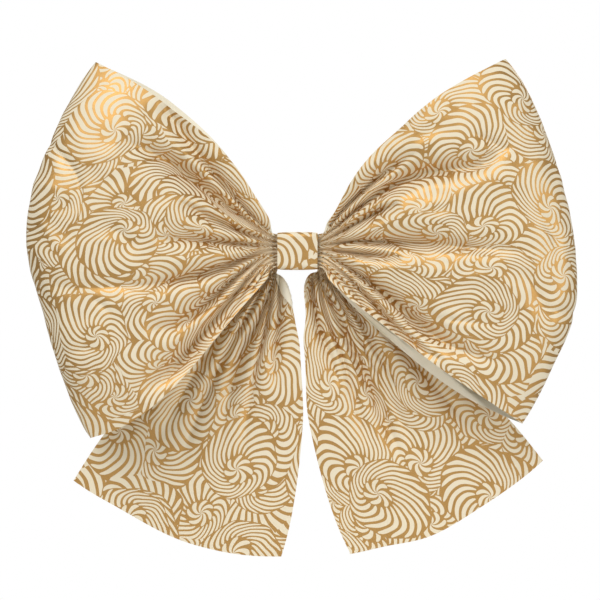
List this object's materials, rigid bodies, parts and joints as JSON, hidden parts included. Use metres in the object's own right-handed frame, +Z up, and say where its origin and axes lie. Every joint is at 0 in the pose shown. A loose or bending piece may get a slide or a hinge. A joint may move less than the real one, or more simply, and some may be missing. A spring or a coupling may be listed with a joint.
{
  "type": "pre-made gift bow",
  "caption": "Large flat-front gift bow with wide puffed loops and splayed tails of stiff swirl-printed fabric, gathered in a wrapped centre band with an adhesive pad behind.",
  "frame": {"origin": "behind the band's middle, on the release liner's outer face, which lies against a gift in the plane y = 0", "axes": "+Z up, +Y into the gift, -Y out of the bow's printed front, +X to the right as seen from the front, along the bow's width"},
  "size_m": [0.3084, 0.0498, 0.276],
  "materials": {
    "printed_fabric": "satin",
    "fabric_pleats": "matte",
    "hot_melt_glue": "satin",
    "binding_wire": "satin",
    "foam_pad": "matte",
    "liner_paper": "satin"
  },
  "bodies": {
    "knot": {"centre_band": "printed_fabric", "band_glue": "hot_melt_glue", "binding_wire": "binding_wire", "loop_front_gather": "fabric_pleats", "loop_back_gather": "fabric_pleats", "tail_gather": "fabric_pleats", "adhesive_pad": "foam_pad"},
    "left_loop": {"left_loop": "printed_fabric"},
    "right_loop": {"right_loop": "printed_fabric"},
    "left_tail": {"left_tail": "printed_fabric"},
    "right_tail": {"right_tail": "printed_fabric"},
    "liner": {"release_liner": "liner_paper"}
  },
  "joints": [
    {"name": "left_loop_fold", "type": "hinge", "parent": "knot", "child": "left_loop", "pos_m": [-0.0125, -0.01738, 0], "axis": [0, 0, 1], "range_deg": [0, 45], "stiffness_Nm_per_rad": 0.02},
    {"name": "right_loop_fold", "type": "hinge", "parent": "knot", "child": "right_loop", "pos_m": [0.0125, -0.01738, 0], "axis": [0, 0, -1], "range_deg": [0, 45], "stiffness_Nm_per_rad": 0.02},
    {"name": "left_tail_swing", "type": "hinge", "parent": "knot", "child": "left_tail", "pos_m": [-0.0165, -0.00624, -0.0075], "axis": [0, 1, 0], "range_deg": [0, 15], "stiffness_Nm_per_rad": 0.05, "springref_deg": 0.61},
    {"name": "right_tail_swing", "type": "hinge", "parent": "knot", "child": "right_tail", "pos_m": [0.0165, -0.00624, -0.0075], "axis": [0, -1, 0], "range_deg": [0, 15], "stiffness_Nm_per_rad": 0.05, "springref_deg": 0.8},
    {"name": "liner_peel", "type": "slide", "parent": "knot", "child": "liner", "axis": [0, 1, 0], "range_m": [0, 0.03]}
  ]
}
